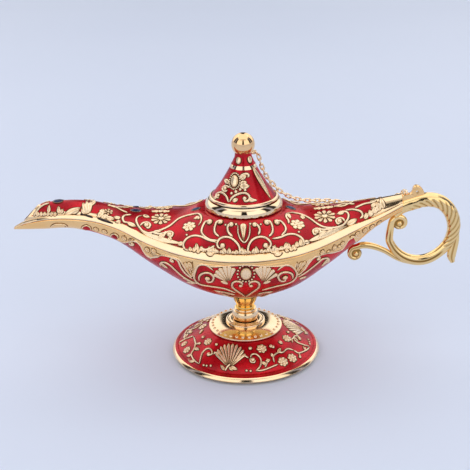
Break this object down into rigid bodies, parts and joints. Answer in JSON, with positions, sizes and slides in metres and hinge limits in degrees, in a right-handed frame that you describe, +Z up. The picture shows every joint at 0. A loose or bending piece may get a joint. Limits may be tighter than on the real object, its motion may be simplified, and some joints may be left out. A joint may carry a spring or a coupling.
{
  "type": "genie lamp",
  "caption": "Footed genie lamp in red enamel and gold: boat-shaped body with spout, scrolled handle, turned stem, domed foot, and a lift-off cone lid held by a chain.",
  "frame": {"origin": "centre of the felt pad's underside, where the lamp stands", "axes": "+Z up through the stem and lid, the spout points to -X and the handle to +X, the front is -Y"},
  "size_m": [0.206, 0.0708, 0.1086],
  "materials": {
    "red_enamel": "glossy translucent red enamel with gold-plated raised scrolls",
    "gold": "polished pale gold plating",
    "steel": "zinc-plated fasteners",
    "felt": "dark red felt"
  },
  "bodies": {
    "body": {"foot_pad": "felt", "foot": "red_enamel", "bolt_washer": "steel", "stem_bolt": "steel", "beaded_collar": "gold", "stem": "gold", "stem_nut": "steel", "lower_shell": "red_enamel", "upper_shell": "red_enamel", "neck_collar": "gold", "handle": "gold", "thumb_rest": "gold", "chain_link_01": "gold", "chain_link_02": "gold", "chain_link_03": "gold", "chain_link_04": "gold", "chain_link_05": "gold", "chain_link_06": "gold", "chain_link_07": "gold", "chain_link_08": "gold", "chain_link_09": "gold", "chain_link_10": "gold", "chain_link_11": "gold", "chain_link_12": "gold", "chain_link_13": "gold", "chain_link_14": "gold", "chain_link_15": "gold", "chain_link_16": "gold", "chain_link_17": "gold", "chain_link_18": "gold", "chain_link_19": "gold", "chain_link_20": "gold", "chain_link_21": "gold", "chain_link_22": "gold", "chain_link_23": "gold", "chain_link_24": "gold", "chain_link_25": "gold", "chain_link_26": "gold", "chain_link_27": "gold", "chain_link_28": "gold", "chain_link_29": "gold", "chain_link_30": "gold", "chain_link_31": "gold", "chain_link_32": "gold", "chain_link_33": "gold", "chain_link_34": "gold", "chain_link_35": "gold", "chain_link_36": "gold", "chain_link_37": "gold", "chain_link_38": "gold", "chain_link_39": "gold"},
    "lid": {"lid_shell": "red_enamel", "chain_tab": "gold", "knob": "gold", "knob_screw": "steel"}
  },
  "joints": [
    {"name": "lid_lift", "type": "slide", "parent": "body", "child": "lid", "axis": [0, 0, 1], "range_m": [0, 0.025], "deforming": ["chain_link_01", "chain_link_02", "chain_link_03", "chain_link_04", "chain_link_05", "chain_link_06", "chain_link_07", "chain_link_08", "chain_link_09", "chain_link_10", "chain_link_11", "chain_link_12", "chain_link_13", "chain_link_14", "chain_link_15", "chain_link_16", "chain_link_17", "chain_link_18", "chain_link_19", "chain_link_20", "chain_link_21", "chain_link_22", "chain_link_23", "chain_link_24", "chain_link_25", "chain_link_26", "chain_link_27", "chain_link_28", "chain_link_29", "chain_link_30", "chain_link_31", "chain_link_32", "chain_link_33", "chain_link_34", "chain_link_35", "chain_link_36", "chain_link_37", "chain_link_38", "chain_link_39"]}
  ]
}
